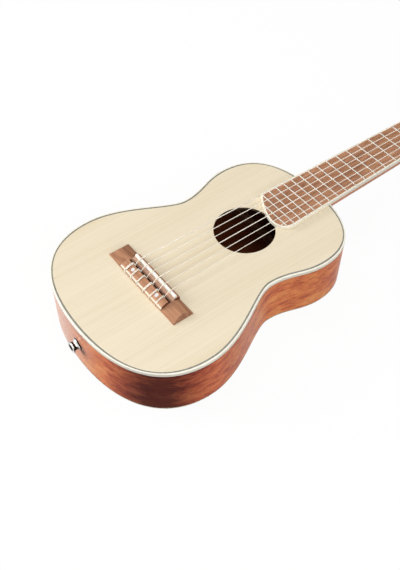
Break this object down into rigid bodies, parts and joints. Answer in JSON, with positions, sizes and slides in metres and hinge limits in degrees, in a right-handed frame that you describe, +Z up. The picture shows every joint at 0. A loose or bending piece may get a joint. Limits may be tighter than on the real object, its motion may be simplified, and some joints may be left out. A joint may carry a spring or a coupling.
{
  "type": "guitalele",
  "caption": "Small nylon-string guitar with a hollow wooden body, round sound hole, fretted neck, tie bridge, jack at the tail and geared tuners that turn.",
  "frame": {"origin": "under the middle of the whole length, on the plane the back lies on", "axes": "+X to the treble side, +Y along the neck to the head, +Z up out of the soundboard"},
  "size_m": [0.228, 0.6922, 0.0732],
  "materials": {
    "spruce": "satin lacquered spruce, straight lengthwise grain",
    "mahogany": "lacquered reddish mahogany",
    "walnut": "open-pored oiled walnut",
    "inner_wood": "unfinished inner wood",
    "binding": "cream edging",
    "purfling": "thin grey-green line",
    "bone": "polished bone colour",
    "nylon": "whitish nylon",
    "pearl": "pearl",
    "fret_metal": "polished nickel silver",
    "jack_metal": "dark polished metal",
    "tuner_metal": "polished nickel plate",
    "button": "pearl white plastic",
    "pickup": "braided metal strip",
    "lead": "black sheath"
  },
  "bodies": {
    "guitar": {"soundboard_treble": "spruce", "soundboard_bass": "spruce", "side_treble": "mahogany", "side_bass": "mahogany", "back": "mahogany", "neck": "mahogany", "headstock": "mahogany", "bridge": "walnut", "fretboard": "walnut", "headstock_veneer": "walnut", "neck_block": "inner_wood", "tail_block": "inner_wood", "linings": "inner_wood", "top_braces": "inner_wood", "back_braces": "inner_wood", "bridge_plate": "inner_wood", "neck_dowels": "inner_wood", "top_binding": "binding", "back_binding": "binding", "fretboard_binding": "binding", "top_purfling": "purfling", "saddle": "bone", "nut": "bone", "tie_block_strip": "bone", "string_1": "nylon", "string_2": "nylon", "string_3": "nylon", "string_4": "nylon", "string_5": "nylon", "string_6": "nylon", "bridge_dots": "pearl", "frets": "fret_metal", "jack_barrel": "jack_metal", "jack_washer": "jack_metal", "strap_collar": "jack_metal", "jack_nut": "jack_metal", "tuner_plates": "tuner_metal", "tuner_bushings": "tuner_metal", "tuner_screws": "tuner_metal", "bridge_bolts": "tuner_metal", "pickup_strip": "pickup", "pickup_lead": "lead"},
    "knob_1": {"worm_shaft_1": "tuner_metal", "tuner_button_1": "button"},
    "post_1": {"string_post_1": "tuner_metal"},
    "knob_2": {"worm_shaft_2": "tuner_metal", "tuner_button_2": "button"},
    "post_2": {"string_post_2": "tuner_metal"},
    "knob_3": {"worm_shaft_3": "tuner_metal", "tuner_button_3": "button"},
    "post_3": {"string_post_3": "tuner_metal"},
    "knob_4": {"worm_shaft_4": "tuner_metal", "tuner_button_4": "button"},
    "post_4": {"string_post_4": "tuner_metal"},
    "knob_5": {"worm_shaft_5": "tuner_metal", "tuner_button_5": "button"},
    "post_5": {"string_post_5": "tuner_metal"},
    "knob_6": {"worm_shaft_6": "tuner_metal", "tuner_button_6": "button"},
    "post_6": {"string_post_6": "tuner_metal"}
  },
  "joints": [
    {"name": "knob_1_turn", "type": "hinge", "parent": "guitar", "child": "knob_1", "pos_m": [0.0215, 0.23673, 0.03504], "axis": [1, 0, 0], "continuous": true},
    {"name": "post_1_turn", "type": "hinge", "parent": "guitar", "child": "post_1", "pos_m": [0.0215, 0.23462, 0.05593], "axis": [0, 0.2079, 0.9781], "continuous": true},
    {"name": "knob_2_turn", "type": "hinge", "parent": "guitar", "child": "knob_2", "pos_m": [0.0215, 0.27194, 0.02755], "axis": [1, 0, 0], "continuous": true},
    {"name": "post_2_turn", "type": "hinge", "parent": "guitar", "child": "post_2", "pos_m": [0.0215, 0.26984, 0.04845], "axis": [0, 0.2079, 0.9781], "continuous": true},
    {"name": "knob_3_turn", "type": "hinge", "parent": "guitar", "child": "knob_3", "pos_m": [0.0215, 0.30715, 0.02007], "axis": [1, 0, 0], "continuous": true},
    {"name": "post_3_turn", "type": "hinge", "parent": "guitar", "child": "post_3", "pos_m": [0.0215, 0.30505, 0.04096], "axis": [0, 0.2079, 0.9781], "continuous": true},
    {"name": "knob_4_turn", "type": "hinge", "parent": "guitar", "child": "knob_4", "pos_m": [-0.0215, 0.30715, 0.02007], "axis": [-1, 0, 0], "continuous": true},
    {"name": "post_4_turn", "type": "hinge", "parent": "guitar", "child": "post_4", "pos_m": [-0.0215, 0.30505, 0.04096], "axis": [0, 0.2079, 0.9781], "continuous": true},
    {"name": "knob_5_turn", "type": "hinge", "parent": "guitar", "child": "knob_5", "pos_m": [-0.0215, 0.27194, 0.02755], "axis": [-1, 0, 0], "continuous": true},
    {"name": "post_5_turn", "type": "hinge", "parent": "guitar", "child": "post_5", "pos_m": [-0.0215, 0.26984, 0.04845], "axis": [0, 0.2079, 0.9781], "continuous": true},
    {"name": "knob_6_turn", "type": "hinge", "parent": "guitar", "child": "knob_6", "pos_m": [-0.0215, 0.23673, 0.03504], "axis": [-1, 0, 0], "continuous": true},
    {"name": "post_6_turn", "type": "hinge", "parent": "guitar", "child": "post_6", "pos_m": [-0.0215, 0.23462, 0.05593], "axis": [0, 0.2079, 0.9781], "continuous": true}
  ],
  "couplings": [
    {"joint": "post_1_turn", "follows": "knob_1_turn", "ratio": 0.071429},
    {"joint": "post_2_turn", "follows": "knob_2_turn", "ratio": 0.071429},
    {"joint": "post_3_turn", "follows": "knob_3_turn", "ratio": 0.071429},
    {"joint": "post_4_turn", "follows": "knob_4_turn", "ratio": 0.071429},
    {"joint": "post_5_turn", "follows": "knob_5_turn", "ratio": 0.071429},
    {"joint": "post_6_turn", "follows": "knob_6_turn", "ratio": 0.071429}
  ]
}
